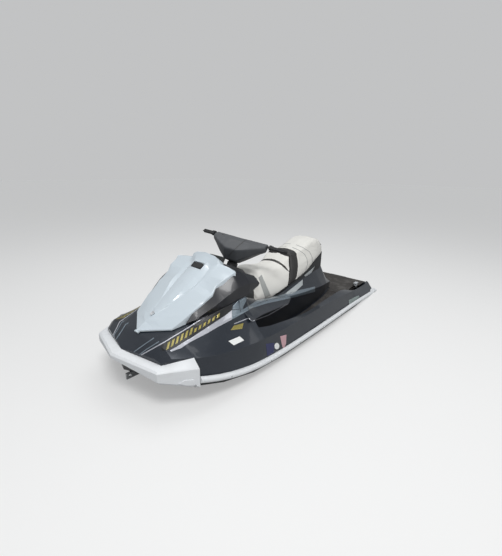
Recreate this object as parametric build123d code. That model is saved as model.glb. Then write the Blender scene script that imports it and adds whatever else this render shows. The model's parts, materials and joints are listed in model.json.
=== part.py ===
from build123d import *
import math
import os

# Personal watercraft, three-seat runabout. Millimetres; X to port, Y from bow to stern, Z up.
# Heights in the tables are above the keel; everything moves down by DRAFT when it is written,
# so that the origin lies on the waterline amidships.

os.makedirs("parts", exist_ok=True)

# Main sizes
LENGTH = 3270
BEAM = 1220
HEIGHT = 1190
DRAFT = 260
BOW = -LENGTH / 2
STERN = LENGTH / 2
GAP = 5  # running gap between pieces that move apart

# Seam between the hull and the deck moulding: height above the keel at a given y
SEAM = [(-1660, 520), (-1020, 376), (-500, 338), (500, 322), (1700, 264)]

# Pump line and steering
PUMP_Z = 125
PUMP_START = 1190
PUMP_R = 88
BORE_R = 79
NOZZLE_PIVOT_Y = 1500
STEER_SHOWN = 20  # bars as they stand: turned this many degrees to port
STEER_LEAN = 26  # column leans aft
NOZZLE_RATIO = 0.8
COLUMN = (0, -497, HEIGHT - 238)  # a point on the steering axis

# Storage hood: it lies on a bed that rises aft at BED_RISE, hinged at its front tip
BED_FRONT = (-1430, 650)
BED_RISE = 0.26
HOOD_HINGE = (-1436, 655)
BARREL_R = 7
BARREL_HALF = 20  # half the barrel's width
GROOVE_HALF = 30  # half the width of the groove that it turns in


def bed(y):
    # height of the bed below the hood
    return BED_FRONT[1] + BED_RISE * (y - BED_FRONT[0])


def seam(y):
    # height of the seam at y
    for (y0, z0), (y1, z1) in zip(SEAM, SEAM[1:]):
        if y <= y1:
            return z0 + (z1 - z0) * (y - y0) / (y1 - y0)
    return SEAM[-1][1]


def across(y, half):
    # face across the craft at y; half runs from the bottom centre to the top centre on the port side
    port = [(x, y, z) for x, z in half]
    starboard = [(-x, y, z) for x, z in reversed(half) if x > 0]
    return make_face(Polyline(*port, *starboard, close=True))


def flat(points, z):
    # level face at height z
    return make_face(Polyline(*[(x, y, z) for x, y in points], close=True))


def upright(points, x_from, x_to):
    # prism with a side profile of (y, z) points, from x_from to x_to
    face = make_face(Polyline(*[(x_from, y, z) for y, z in points], close=True))
    return extrude(face, amount=x_to - x_from, dir=(1, 0, 0))


def box(x0, x1, y0, y1, z0, z1):
    return Pos((x0 + x1) / 2, (y0 + y1) / 2, (z0 + z1) / 2) * Box(x1 - x0, y1 - y0, z1 - z0)


def rod(start, end, radius):
    # round bar between two points
    a, b = Vector(*start), Vector(*end)
    return Solid.extrude(
        Face(Wire(Edge.make_circle(radius, Plane(origin=a, z_dir=b - a)))), b - a
    )


def largest(shape):
    # the main body of a trimmed piece, without its slivers
    return max(shape.solids(), key=lambda solid: solid.volume)


def pair(shape):
    # a piece and its mirror image on the other side
    return Compound([*shape.solids(), *mirror(shape, about=Plane.YZ).solids()])


def keep(name, shape):
    # writes one named piece in the waterline frame
    solids = shape.solids()
    moved = [Pos(0, 0, -DRAFT) * s for s in solids]
    whole = moved[0] if len(moved) == 1 else Compound(moved)
    export_step(whole, f"parts/{name}.step")


# Hull and deck forms

# y, keel z, chine x, chine z, topside x just under the rail
HULL_ROWS = [
    (1590, 0, 430, 165, 464),
    (1000, 0, 440, 172, 533),
    (400, 0, 441, 178, 568),
    (-150, 3, 438, 186, 577),
    (-560, 16, 420, 210, 578),
    (-900, 56, 378, 258, 566),
    (-1200, 158, 288, 332, 520),
    (-1400, 284, 180, 392, 430),
    (-1570, 420, 30, 440, 60),
]
TOPSIDE_DROP = 20  # the topside turns upright this far below the seam


def hull_form():
    faces = []
    for y, keel, chine_x, chine_z, top_x in HULL_ROWS:
        rail_z = max(seam(y) - TOPSIDE_DROP, chine_z + 4)
        top = rail_z + 3 * TOPSIDE_DROP
        faces.append(across(y, [(0, keel), (chine_x, chine_z), (top_x, rail_z), (top_x, top), (0, top)]))
    return loft(faces)


# Deck sections: y, centre z, bed edge (x, z), stripe crease (x, z), shoulder crease (x, z), rail line x
NOSE_ROWS = [
    (-1590, 556, 18, 556, 26, 552, 34, 546, 60),
    (-1500, 612, 160, 606, 290, 588, 340, 562, 350),
    (-1430, 649, 190, 649, 335, 634, 400, 586, 412),
    (-1310, 681, 240, 681, 346, 650, 474, 588, 488),
]
FRONT_ROWS = [
    (-1310, 681, 240, 681, 346, 650, 474, 588, 488),
    (-1160, 720, 285, 720, 362, 668, 512, 562, 534),
    (-975, 768, 338, 768, 386, 700, 542, 540, 563),
    (-740, 829, 400, 829, 412, 716, 562, 526, 577),
]
AFT_ROWS = [
    (-740, 700, 340, 700, 412, 660, 562, 526, 577),
    (-520, 620, 330, 620, 440, 584, 560, 510, 580),
    (-250, 520, 320, 520, 474, 512, 553, 503, 580),
    (290, 498, 320, 498, 480, 496, 535, 488, 572),
    (900, 440, 300, 440, 440, 438, 495, 428, 552),
    (1590, 374, 220, 374, 380, 372, 425, 360, 498),
]

# Plan of the bow face that the bumper sits against
BOW_PLAN = [(0, -1559), (346, -1482), (462, -1318)]


def deck_form(rows, ruled=False):
    faces = []
    for y, centre, bx, bz, sx, sz, kx, kz, rail_x in rows:
        low = seam(y) - 40
        side = [(rail_x, low), (rail_x, seam(y)), (kx, kz), (sx, sz), (bx, bz)]
        faces.append(across(y, [(0, low), *side, (0, centre)]))
    return loft(faces, ruled=ruled)


def above_seam():
    return upright(SEAM + [(1700, 1400), (-1660, 1400)], -700, 700)


def below_seam():
    return upright(SEAM + [(1700, -200), (-1660, -200)], -700, 700)


def behind_bow():
    port = BOW_PLAN + [(700, BOW_PLAN[-1][1]), (700, 1700)]
    plan = port + [(-x, y) for x, y in reversed(port) if x > 0]
    return extrude(flat(plan, -100), amount=1500, dir=(0, 0, 1))


# Footwells and stern platform: side profile of the cut, and plan of its outer wall
FLOOR = [(-810, 1000), (-650, 300), (300, 300), (900, 366), (1650, 352), (1650, 1000)]
LINER = 14  # thickness of the deck where the footwells reach down into the hull
WELL_LOW = [(462, -820), (486, -600), (484, 0), (462, 500), (420, 900), (408, 1450), (396, 1700)]
WELL_HIGH = [(505, -820), (522, -600), (520, 0), (498, 500), (448, 900), (420, 1450), (408, 1700)]


def well_walls(inset):
    rings = []
    for outline, z in ((WELL_LOW, 290), (WELL_HIGH, 1010)):
        port = [(x - inset, y) for x, y in outline]
        rings.append(flat(port + [(-x, y) for x, y in reversed(port)], z))
    return loft(rings, ruled=True)


def well(grow=0):
    # space of both footwells and the platform; grown, the space that the deck's liner fills
    floor = [(y, z - grow) if z < 1000 else (y, z) for y, z in FLOOR]
    floor[0] = (floor[0][0] - grow, 1000)
    floor[1] = (floor[1][0] - grow, floor[1][1])
    return upright(floor, -640, 640) & well_walls(-grow)


# Pedestal under the seat: y, floor x, ledge (x, z), rim beside the seat (x, z), top z
PEDESTAL_ROWS = [
    (-830, 330, 404, 712, 392, 806, 806),
    (-752, 325, 404, 712, 390, 818, 818),
    (-640, 318, 338, 688, 262, 752, 752),
    (-460, 284, 327, 680, 240, 670, 592),
    (-304, 266, 318, 652, 240, 640, 592),
    (-150, 256, 309, 620, 240, 618, 594),
    (28, 246, 302, 586, 228, 636, 630),
    (250, 238, 290, 553, 204, 664, 660),
    (620, 222, 273, 515, 168, 690, 690),
    (800, 206, 240, 496, 140, 700, 700),
    (1020, 150, 175, 452, 100, 470, 470),
]

# Fairing over the front of each footwell: y, inner edge (x, z), overhanging lower edge (x, z)
SKIRT_ROWS = [
    (-800, 408, 716, 480, 668),
    (-735, 392, 708, 466, 654),
    (-625, 345, 690, 444, 646),
    (-394, 324, 664, 398, 604),
    (-102, 308, 606, 340, 552),
    (-30, 302, 590, 310, 566),
]
SKIRT_LIP = (10, 16)
SKIRT_DEPTH = 70
SKIRT_FALL = 24  # the top falls this much towards the pedestal
SKIRT_IN = 20  # the underside starts this far inside the inner edge
SKIRT_ROOT = 256  # inside the pedestal


def pedestal_form(grow=0):
    faces = []
    for y, fx, lx, lz, rx, rz, top in PEDESTAL_ROWS:
        half = [(fx + grow, 280), (lx + grow, lz), (rx + grow, rz), (rx - 8, top)]
        faces.append(across(y, [(0, 280), *half, (0, top)]))
    return loft(faces, ruled=True)


def make_skirts():
    faces = []
    for y, tx, tz, wx, wz in SKIRT_ROWS:
        floor = tz - SKIRT_DEPTH
        under = [(wx - SKIRT_LIP[0], wz - SKIRT_LIP[1]), (tx - SKIRT_IN, floor), (SKIRT_ROOT, floor)]
        section = [(SKIRT_ROOT, tz - SKIRT_FALL), (tx, tz), (wx, wz), *under]
        faces.append(make_face(Polyline(*[(x, y, z) for x, z in section], close=True)))
    return pair(loft(faces, ruled=True))


# Engine bay below the seat, its hatch opening and the bow bin
BAY = (-225, 225, -330, 520, 125, 470)
HATCH = (-130, 130, -300, 560, 440, 1000)
BIN = (-210, 210, -1240, -860, 470, 1100)

# Jet tunnel in the stern
TUNNEL = (-150, 150, PUMP_START, 1700, -40, 262)
INTAKE = [(760, -20), (760, 10), (PUMP_START + 2, 202), (PUMP_START + 2, 48), (1125, -20)]
INTAKE_X = 76


def make_hull():
    hull = hull_form() & below_seam() & behind_bow()
    return hull - well(LINER) - box(*BAY) - box(*TUNNEL) - upright(INTAKE, -INTAKE_X, INTAKE_X)


def make_deck():
    deck = deck_form(NOSE_ROWS, True) + deck_form(FRONT_ROWS) + deck_form(AFT_ROWS)
    deck = deck & above_seam() & behind_bow()
    liner = well(LINER)
    deck = deck + (liner & below_seam()) - well()
    deck = deck + (pedestal_form() & (above_seam() + liner)) + make_skirts()
    hinge_y, hinge_z = HOOD_HINGE
    groove = rod((-GROOVE_HALF, *HOOD_HINGE), (GROOVE_HALF, *HOOD_HINGE), BARREL_R + GAP)
    deck = deck - groove - box(-GROOVE_HALF, GROOVE_HALF, hinge_y, hinge_y + 40, hinge_z - BARREL_R, 700)
    return deck - box(*BAY) - box(*HATCH) - box(*BIN)


def make_engine():
    return box(-195, 195, -270, 420, BAY[4], 440)


# Non-slip mats: sheets on the floor between the pedestal and the outer wall
MAT = 6


def mat(y_from, y_to):
    top = [(y, z + MAT) for y, z in FLOOR[1:5]]
    sheet = upright(FLOOR[1:5] + top[::-1], -640, 640) & well_walls(14)
    return (sheet & box(-640, 640, y_from, y_to, 200, 500)) - pedestal_form(16)


# Bow bumper: place on the bow face, plan bearing outwards, thickness, and heights of the inner top,
# outer top, outer foot and underside
BUMPER_STATIONS = [
    (BOW_PLAN[0], -90, BOW_PLAN[0][1] - BOW, 574, 566, 540, 516),
    (BOW_PLAN[1], -60, 66, 562, 546, 482, 460),
    (BOW_PLAN[2], 0, 52, 593, 539, 404, 390),
]


def make_bumper():
    faces = []
    for (px, py), bearing, thick, top, brow, foot, under in BUMPER_STATIONS:
        ux, uy = math.cos(math.radians(bearing)), math.sin(math.radians(bearing))
        profile = [
            (0, top), (0.8 * thick, brow + 6), (thick, brow - 6),
            (thick, foot), (0.7 * thick, under), (0, under),
        ]
        faces.append(make_face(Polyline(*[(px + s * ux, py + s * uy, z) for s, z in profile], close=True)))
    port = loft(faces, ruled=True)
    return port + mirror(port, about=Plane.YZ)


# Gunwale rail: y, how far the rail's outside lies inside the beam, height of its centre, and how far
# its flat inner side lies in from the centre
RAIL_R = 23
STRIP = (34, 22)  # width and height of the dark strip below the rail
STRIP_DROP = 30
RAIL_ROWS = [
    (-1314, 80, 449, 16),
    (-1150, 38, 406, 10),
    (-878, 8, 358, 6),
    (-514, 0, 334, 6),
    (0, 0, 330, 6),
    (600, 17, 318, 6),
    (1200, 46, 284, 6),
    (1530, 72, 256, 6),
]


def rail_line():
    # centre points of the port rail
    return [(BEAM / 2 - RAIL_R - inset, y, z) for y, inset, z, flat_in in RAIL_ROWS]


def make_rails():
    rings = [Plane(origin=point, z_dir=(0, 1, 0)) * Circle(RAIL_R) for point in rail_line()]
    inner = [(x - row[3], row[0]) for row, (x, y, z) in zip(RAIL_ROWS, rail_line())]
    plan = [(inner[0][0], -1400), *inner, (inner[-1][0], 1700), (800, 1700), (800, -1400)]
    return loft(rings) & extrude(flat(plan, 0), amount=700, dir=(0, 0, 1))


def make_strip():
    # dark strip below the white rail
    rings = []
    for x, y, z in rail_line():
        middle = (x - 14, y, z - STRIP_DROP)
        rings.append(Plane(origin=middle, x_dir=(1, 0, 0), z_dir=(0, -1, 0)) * Rectangle(*STRIP))
    return loft(rings, ruled=True)


def make_corner_caps():
    cap = box(452, 548, 1500, 1614, 224, 286)
    cap = fillet(cap.edges().filter_by(Axis.Z), 22)
    return fillet(cap.edges().group_by(Axis.Z)[-1], 10)


def make_stern_rail():
    # the rail's return across the transom
    return rod((470, 1600, 256), (246, 1600, 254), 18)


# Storage hood, its black side housings and mirrors

# Half sections of the hood's top: edge, lip crease, ridge, valley and rim of the raised panel as (x, z)
# pairs, then the centre height
HOOD_ROWS = [
    (-1432, (8, 664), (7, 666), (5, 667), (4, 667), (3, 668), 668),
    (-1367, (112, 682), (6, 705), (5, 706), (4, 706), (3, 706), 706),
    (-1331, (170, 689), (69, 722), (40, 724), (24, 725), (12, 726), 727),
    (-1302, (216, 696), (103, 734), (50, 741), (30, 742), (14, 744), 745),
    (-1222, (245, 749), (178, 769), (62, 784), (52, 782), (46, 791), 796),
    (-1176, (259, 781), (217, 793), (68, 815), (64, 813), (60, 819), 826),
    (-1101, (277, 823), (263, 832), (104, 862), (80, 849), (60, 864), 876),
    (-1050, (287, 855), (284, 864), (130, 893), (98, 880), (62, 898), 910),
    (-1002, (296, 880), (292, 886), (139, 920), (104, 906), (64, 930), 941),
    (-961, (284, 925), (278, 930), (143, 942), (106, 931), (60, 956), 966),
    (-917, (308, 965), (300, 970), (148, 968), (106, 960), (58, 990), 997),
    (-862, (322, 988), (314, 994), (152, 1000), (108, 1000), (71, 1030), 1036),
    (-845, (327, 997), (318, 1003), (154, 1010), (112, 1018), (72, 1044), 1050),
    (-815, (340, 1018), (330, 1020), (160, 1028), (145, 1048), (98, 1070), 1082),
    (-800, (250, 1030), (230, 1032), (165, 1037), (145, 1069), (98, 1090), 1101),
    (-790, (168, 1032), (166, 1034), (163, 1036), (143, 1062), (96, 1084), 1096),
    (-752, (150, 1018), (148, 1021), (146, 1025), (132, 1040), (92, 1056), 1064),
]
# y, low (x, z), crease (x, z), top (x, z)
COWL_ROWS = [
    (-1305, 204, 688, 208, 690, 200, 692),
    (-1160, 284, 727, 302, 748, 256, 784),
    (-1002, 332, 769, 362, 838, 286, 874),
    (-961, 341, 779, 371, 860, 276, 918),
    (-830, 376, 812, 392, 915, 326, 1000),
    (-740, 402, 838, 416, 930, 344, 996),
    (-640, 404, 868, 424, 908, 368, 952),
]
HOOD_UNDER = [(-1440, bed(-1440) + GAP), (-740, bed(-740) + GAP), (-600, 900)]
BOSS = Pos(0, -1307, 741) * Rot(X=33)
RECESS = (128, 62, 20)
LATCH_SIZE = (112, 48, 10)
LATCH = Pos(0, -889, 1017) * Rot(X=36.7)  # the recess for the latch, square to the hood's slope


def above_bed():
    return upright(HOOD_UNDER + [(-600, 1300), (-1440, 1300)], -600, 600)


def hood_form():
    faces = []
    for y, edge, *creases, centre in HOOD_ROWS:
        faces.append(across(y, [(0, 600), (edge[0], 600), edge, *creases, (0, centre)]))
    return loft(faces, ruled=True)


def cowl_form():
    faces = []
    for y, lx, lz, kx, kz, tx, tz in COWL_ROWS:
        faces.append(across(y, [(0, 600), (lx, 600), (lx, lz), (kx, kz), (tx, tz), (0, tz)]))
    return loft(faces, ruled=True)


# Room under the lid: plan of its port side, and side profile of its roof
HOOD_HOLLOW = [(150, -1290), (215, -1176), (240, -980), (240, -800)]
HOOD_ROOF = [(-1320, 600), (-1320, 680), (-1176, 765), (-980, 880), (-790, 965), (-790, 600)]


def hood_hollow():
    plan = HOOD_HOLLOW + [(-x, y) for x, y in reversed(HOOD_HOLLOW)]
    walls = extrude(flat(plan, 600), amount=500, dir=(0, 0, 1))
    return walls & upright(HOOD_ROOF, -400, 400)


def make_hood():
    hood = (hood_form() & above_bed()) - hood_hollow()
    hood = hood + BOSS * Cylinder(15, 14)
    y, z = HOOD_HINGE
    hood = hood + rod((-BARREL_HALF, y, z), (BARREL_HALF, y, z), BARREL_R)
    hood = hood + box(-BARREL_HALF, BARREL_HALF, y, y + 30, z, z + BARREL_R)
    return hood - LATCH * Box(*RECESS)


def make_cowls():
    return (cowl_form() & above_bed()) - hood_form() - box(-262, 262, -1500, -500, 500, 1300)


def make_latch():
    plate = fillet(Box(*LATCH_SIZE).edges().filter_by(Axis.Z), 8)
    return LATCH * Pos(0, 0, -LATCH_SIZE[2] / 2) * plate


def make_mirrors():
    return Pos(335, -632, 912) * Rot(X=4) * Box(104, 6, 48)


# Console below the bars, glove box and steering column

# y, half width, height
CONSOLE_ROWS = [(-738, 150, 985), (-690, 190, 1000), (-600, 180, 965), (-490, 160, 915), (-392, 140, 800)]
# clear of the front of the seat
CONSOLE_REAR = [(-421, 560), (-421, 628), (-340, 822), (-300, 822), (-300, 560)]


def make_console():
    faces = []
    for y, x, z in CONSOLE_ROWS:
        faces.append(across(y, [(0, 580), (x + 50, 580), (x, z - 40), (x - 50, z), (0, z)]))
    return loft(faces, ruled=True) - upright(CONSOLE_REAR, -300, 300)


def make_display():
    return Pos(0, -690, 1018) * Rot(X=-35) * fillet(Box(150, 40, 70).edges().filter_by(Axis.X), 8)


def steer_plane():
    # frame of the bars: x along the bars to port, z up the column
    lean, turn = math.radians(STEER_LEAN), math.radians(STEER_SHOWN)
    up = (0, math.sin(lean), math.cos(lean))
    along = (math.cos(turn), math.sin(turn) * math.cos(lean), -math.sin(turn) * math.sin(lean))
    return Plane(origin=COLUMN, x_dir=along, z_dir=up)


STEER = steer_plane()

# Glove box lid on the console's sloping rear face, hinged along its lower edge
LID_SIZE = (176, 92, 12)
LID = Plane(origin=(0, -432, 847), x_dir=(1, 0, 0), z_dir=(0, 0.761, 0.649))
LID_HINGE_Y = LID_SIZE[1] / 2 + 5  # down the face from the lid's middle
KNUCKLE_HALF = 70
POCKET = (150, 84, 120)  # the glove box behind the lid


def lid_barrel(half_length, radius):
    return LID * rod((-half_length, LID_HINGE_Y, 0), (half_length, LID_HINGE_Y, 0), radius)


def lid_space():
    # what the lid and its box take out of the console
    wide, tall, thick = LID_SIZE
    around = LID * Box(wide + 2 * GAP, tall + 2 * GAP, 3 * thick)
    pocket = LID * (Pos(0, 0, -POCKET[2] / 2) * Box(*POCKET))
    return around + lid_barrel(KNUCKLE_HALF + 10, BARREL_R + GAP) + pocket


def make_glove_lid():
    web = LID * (Pos(0, LID_HINGE_Y - 5, 0) * Box(2 * KNUCKLE_HALF, 10, LID_SIZE[2]))
    return LID * Box(*LID_SIZE) + lid_barrel(KNUCKLE_HALF, BARREL_R) + web


# Bars, in the frame of the column: straight runs to port
BAR_RUNS = [(0, -15, 196), (150, -8, 206), (250, 30, 214), (404, 100, 224)]
BAR_R = 11
STEM = [(0, -15, 12), (0, -15, 200)]
STEM_R = 24
GRIP_R = 17
SWITCH_R = 23
LEVER_PATH = [(272, 6, 207), (300, -4, 207), (392, 42, 213)]
LEVER_R = 5


def on_bar(x):
    # point on the line of the bar's outer run
    start, end = Vector(*BAR_RUNS[2]), Vector(*BAR_RUNS[3])
    return tuple(start + (end - start) * ((x - start.X) / (end.X - start.X)))


def sleeve(x_from, x_to, radius):
    # tube on the bar's outer run
    return rod(on_bar(x_from), on_bar(x_to), radius) - rod(BAR_RUNS[2], on_bar(420), BAR_R + 0.3)


def make_handlebar():
    bar = rod(BAR_RUNS[0], BAR_RUNS[1], BAR_R)
    for a, b in zip(BAR_RUNS[1:], BAR_RUNS[2:]):
        bar = bar + rod(a, b, BAR_R) + Pos(*a) * Sphere(BAR_R)
    return bar + mirror(bar, about=Plane.YZ) + rod(*STEM, STEM_R)


def make_grips():
    return sleeve(288, 408, GRIP_R)


def make_switch_box():
    return sleeve(262, 284, SWITCH_R)


def make_lever():
    root, bend, tip = LEVER_PATH
    pivot = Pos(272, 14, 210) * Box(22, 22, 14)
    return pivot + rod(root, bend, LEVER_R) + Pos(*bend) * Sphere(LEVER_R) + rod(bend, tip, LEVER_R)


# Pad over the bars: x, front y, rear y, underside z, front top z, rear top z
PAD_ROWS = [
    (50, -150, 66, 14, 184, 232),
    (125, -116, 62, 72, 188, 234),
    (205, -58, 58, 140, 200, 236),
    (246, -20, 58, 168, 216, 238),
]


def make_pad():
    faces = []
    rows = [(-x, *rest) for x, *rest in reversed(PAD_ROWS)] + PAD_ROWS
    for x, front, rear, low, high, back in rows:
        wide, tall = rear - front, high - low
        faces.append(make_face(Polyline(
            (x, front + 0.3 * wide, low), (x, front, low + 0.5 * tall), (x, front + 0.28 * wide, high),
            (x, rear - 0.2 * wide, back), (x, rear, low + 0.65 * tall), (x, rear - 0.25 * wide, low),
            close=True)))
    return loft(faces, ruled=True)


# Seat
SEAT_LEAN = 26  # the split between the seats, and the way they lift off, lean aft
SEAT_SPLIT_Y = 60  # where the split meets z 680
SEAT_UNDER = [(-440, 622), (-193, 613), (87, 667), (245, 692), (403, 722), (614, 806), (830, 868)]
# y, low x, side z, middle (x, z), top (x, z), crown z
SEAT_ROWS = [
    (-412, 150, 634, 146, 640, 110, 646, 648),
    (-385, 196, 650, 180, 680, 118, 700, 706),
    (-350, 210, 664, 188, 735, 126, 785, 792),
    (-314, 218, 680, 193, 772, 132, 862, 872),
    (-270, 223, 690, 195, 775, 136, 868, 884),
    (-120, 227, 690, 199, 752, 138, 838, 854),
    (0, 227, 690, 199, 748, 140, 826, 840),
    (60, 226, 700, 199, 765, 140, 842, 854),
    (120, 225, 710, 198, 800, 140, 890, 898),
    (186, 222, 725, 196, 830, 140, 932, 938),
    (260, 217, 740, 191, 835, 140, 932, 944),
    (330, 210, 745, 185, 838, 140, 938, 952),
    (460, 200, 760, 180, 856, 142, 968, 982),
    (560, 190, 790, 176, 888, 142, 1004, 1016),
    (655, 180, 830, 170, 912, 141, 1020, 1032),
    (740, 168, 850, 159, 915, 132, 1004, 1014),
    (800, 152, 870, 143, 915, 110, 968, 976),
]
SEAT_FLOOR = 560  # the forms run down to here before they are trimmed


def seat_form():
    faces = []
    for y, lx, sz, mx, mz, tx, tz, crown in SEAT_ROWS:
        side = [(lx, SEAT_FLOOR), (lx, sz), (mx, mz), (tx, tz)]
        faces.append(across(y, [(0, SEAT_FLOOR), *side, (0, crown)]))
    return loft(faces, ruled=True)


def split_side(shift, aft):
    # half space beyond the split, moved aft by shift
    reach = 900
    foot = (SEAT_SPLIT_Y + shift, 680)
    rise = 600
    top = (foot[0] + rise * math.tan(math.radians(SEAT_LEAN)), foot[1] + rise)
    bottom = (foot[0] - 200 * math.tan(math.radians(SEAT_LEAN)), foot[1] - 200)
    side = reach if aft else -1500
    return upright([bottom, top, (top[0] + side, top[1]), (bottom[0] + side, bottom[1])], -400, 400)


def make_seats():
    form = seat_form() & upright(SEAT_UNDER + [(830, 1200), (-440, 1200)], -400, 400)
    return form & split_side(-5, False), form & split_side(5, True)


def make_plinth(deck):
    # dark rim between the pedestal and the seat, open over the engine hatch
    faces = []
    for y, lx, *rest in SEAT_ROWS[1:]:
        faces.append(across(y, [(0, SEAT_FLOOR), (lx - 6, SEAT_FLOOR), (lx - 6, 900), (0, 900)]))
    form = loft(faces, ruled=True)
    under = upright([(y, z - GAP) for y, z in SEAT_UNDER] + [(830, 400), (-440, 400)], -400, 400)
    return (form & under) - deck - box(*HATCH)


GRAB = (96, 838, 922)  # corner of the handle
GRAB_R = 11


def make_grab_handle():
    # bow-shaped bar behind the rear seat
    x, y, z = GRAB
    whole = rod((-x, y, z), (x, y, z), GRAB_R)
    for side in (-x, x):
        whole = whole + rod((side, y - 68, z - 20), (side, y, z), GRAB_R) + Pos(side, y, z) * Sphere(GRAB_R)
    return whole


# Jet pump, steering nozzle, reverse bucket and ride plate, all about the pump line

def turned(stations):
    # round body about the pump line from (y, radius) stations
    profile = [(0, stations[0][0])] + [(r, y) for y, r in stations] + [(0, stations[-1][0])]
    face = make_face(Polyline(*[(r, y, 0) for r, y in profile], close=True))
    return Pos(0, 0, PUMP_Z) * revolve(face, Axis.Y, 360)


CONE_END = 1470
EAR_X = (98, 106)
PIN_R = 6
PIN_HOLE_R = 8


def make_pump():
    body = turned([(PUMP_START, PUMP_R), (1400, PUMP_R), (CONE_END, 48)])
    for sign in (-1, 1):
        inner, outer = sorted((sign * 76, sign * 150))
        body = body + box(inner, outer, 1230, 1370, 95, 155)
        near, far = sorted((sign * EAR_X[0], sign * EAR_X[1]))
        body = body + box(near, far, 1365, NOZZLE_PIVOT_Y + 16, PUMP_Z - 14, PUMP_Z + 14)
        low, high = sorted((PUMP_Z + sign * 80, PUMP_Z + sign * 88))
        body = body + box(-14, 14, 1380, NOZZLE_PIVOT_Y + 16, low, high)
    body = body - turned([(PUMP_START - 5, BORE_R), (1400, BORE_R), (CONE_END, 42), (CONE_END + 1, 42)])
    body = body - rod((-140, NOZZLE_PIVOT_Y, PUMP_Z), (140, NOZZLE_PIVOT_Y, PUMP_Z), PIN_HOLE_R)
    return body - rod((0, NOZZLE_PIVOT_Y, -10), (0, NOZZLE_PIVOT_Y, 250), PIN_HOLE_R)


def blades(count, y0, y1, root_r, tip_r, root_lean, tip_lean, thick):
    # blades around the pump line; lean is the angle from the line at root and tip
    whole = None
    for index in range(count):
        faces = []
        for radius, lean in ((root_r, root_lean), (tip_r, tip_lean)):
            chord = (y1 - y0) / math.cos(math.radians(lean))
            faces.append(Plane(
                origin=(0, (y0 + y1) / 2, radius),
                x_dir=(math.sin(math.radians(lean)), math.cos(math.radians(lean)), 0),
                z_dir=(0, 0, 1)) * Rectangle(chord, thick))
        blade = Pos(0, 0, PUMP_Z) * Rot(Y=360 * index / count) * loft(faces, ruled=True)
        whole = blade if whole is None else whole + blade
    return whole


def make_stator():
    hub = turned([(1322, 26), (1390, 26), (1430, 8)])
    vanes = blades(5, 1326, 1388, 22, BORE_R + 4, -8, -8, 4)
    inside = turned([(1300, BORE_R), (1400, BORE_R)])
    return (vanes & inside) + hub


IMPELLER_R = 74


def make_impeller():
    hub = turned([(1212, 14), (1232, 26), (1312, 26)])
    return hub + (blades(4, 1240, 1304, 22, 78, 34, 52, 5) & turned([(1220, IMPELLER_R), (1312, IMPELLER_R)]))


def make_shaft():
    return turned([(1046, 11), (1212, 11)])


NOZZLE_TURN = -NOZZLE_RATIO * STEER_SHOWN
NOZZLE_PIN = (67, 92)  # inner and outer end of each pin, from the pump line


def at_nozzle(shape):
    # turns a piece about the nozzle's upright pin to the angle that goes with the bars
    pivot = Pos(0, NOZZLE_PIVOT_Y, 0)
    return pivot * Rot(Z=NOZZLE_TURN) * pivot.inverse() * shape


def make_nozzle():
    body = turned([(1482, 71), (1520, 71), (1592, 50)]) - turned([(1481, 66), (1520, 66), (1593, 44)])
    for sign in (-1, 1):
        low, high = (PUMP_Z + sign * reach for reach in NOZZLE_PIN)
        body = body + rod((0, NOZZLE_PIVOT_Y, low), (0, NOZZLE_PIVOT_Y, high), PIN_R)
    return at_nozzle(body)


BUCKET_R = (112, 120)
BUCKET_FROM = 40  # degrees above level, stowed
BUCKET_TO = 108


def sector(radius, start, stop):
    # pie slice in side view about the nozzle pin line
    points = [(NOZZLE_PIVOT_Y, PUMP_Z)]
    for step in range(5):
        angle = math.radians(start + (stop - start) * step / 4)
        reach = radius / math.cos(math.radians((stop - start) / 8))
        points.append((NOZZLE_PIVOT_Y + reach * math.cos(angle), PUMP_Z + reach * math.sin(angle)))
    return upright(points, -BUCKET_R[1], BUCKET_R[1])


def make_bucket():
    inner, outer = BUCKET_R
    drum = rod((-outer, NOZZLE_PIVOT_Y, PUMP_Z), (outer, NOZZLE_PIVOT_Y, PUMP_Z), outer)
    hollow = rod((-inner, NOZZLE_PIVOT_Y, PUMP_Z), (inner, NOZZLE_PIVOT_Y, PUMP_Z), inner)
    shell = (drum & sector(outer + 10, BUCKET_FROM, BUCKET_TO)) - hollow
    for sign in (-1, 1):
        start, stop = sign * EAR_X[0], sign * outer
        shell = shell + rod((start, NOZZLE_PIVOT_Y, PUMP_Z), (stop, NOZZLE_PIVOT_Y, PUMP_Z), PIN_R)
        shell = shell + rod((sign * inner, NOZZLE_PIVOT_Y, PUMP_Z), (stop, NOZZLE_PIVOT_Y, PUMP_Z), 18)
    return shell


def make_ride_plate():
    # carries on the hull's vee below the pump
    slope = 165 / 430
    x = TUNNEL[1]
    half = [(0, 1), (x, 1 + slope * x), (x, 12 + slope * x), (0, 12)]
    face = make_face(Polyline(
        *[(px, PUMP_START + 6, pz) for px, pz in half],
        *[(-px, PUMP_START + 6, pz) for px, pz in half[::-1] if px > 0], close=True))
    return extrude(face, amount=360, dir=(0, 1, 0))


def make_grate(hull):
    bars = None
    for x in (-46, 0, 46):
        z = 10 + 0.38 * abs(x)
        bar = rod((x, 745, z), (x, 1150, z), 6)
        bars = bar if bars is None else bars + bar
    cross = rod((-46, 940, 27.5), (0, 940, 10), 5) + rod((0, 940, 10), (46, 940, 27.5), 5)
    return (bars + cross) - hull


# Sponson sections: y, root, top edge, outer edge and foot as (x, z) pairs
SPONSON_ROWS = [
    (870, (426, 160), (458, 176), (462, 166), (440, 150)),
    (980, (410, 150), (472, 190), (482, 158), (452, 100)),
    (1440, (404, 140), (462, 186), (474, 150), (446, 84)),
]


def make_sponson(hull):
    faces = []
    for y, *corners in SPONSON_ROWS:
        faces.append(make_face(Polyline(*[(x, y, z) for x, z in corners], close=True)))
    return loft(faces, ruled=True) - hull


# Boarding step: bent tube folded up against the transom
STEP_PIN = (1604, 150)
STEP_X = 235
STEP_TOP = 338
TUBE_R = 10


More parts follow.
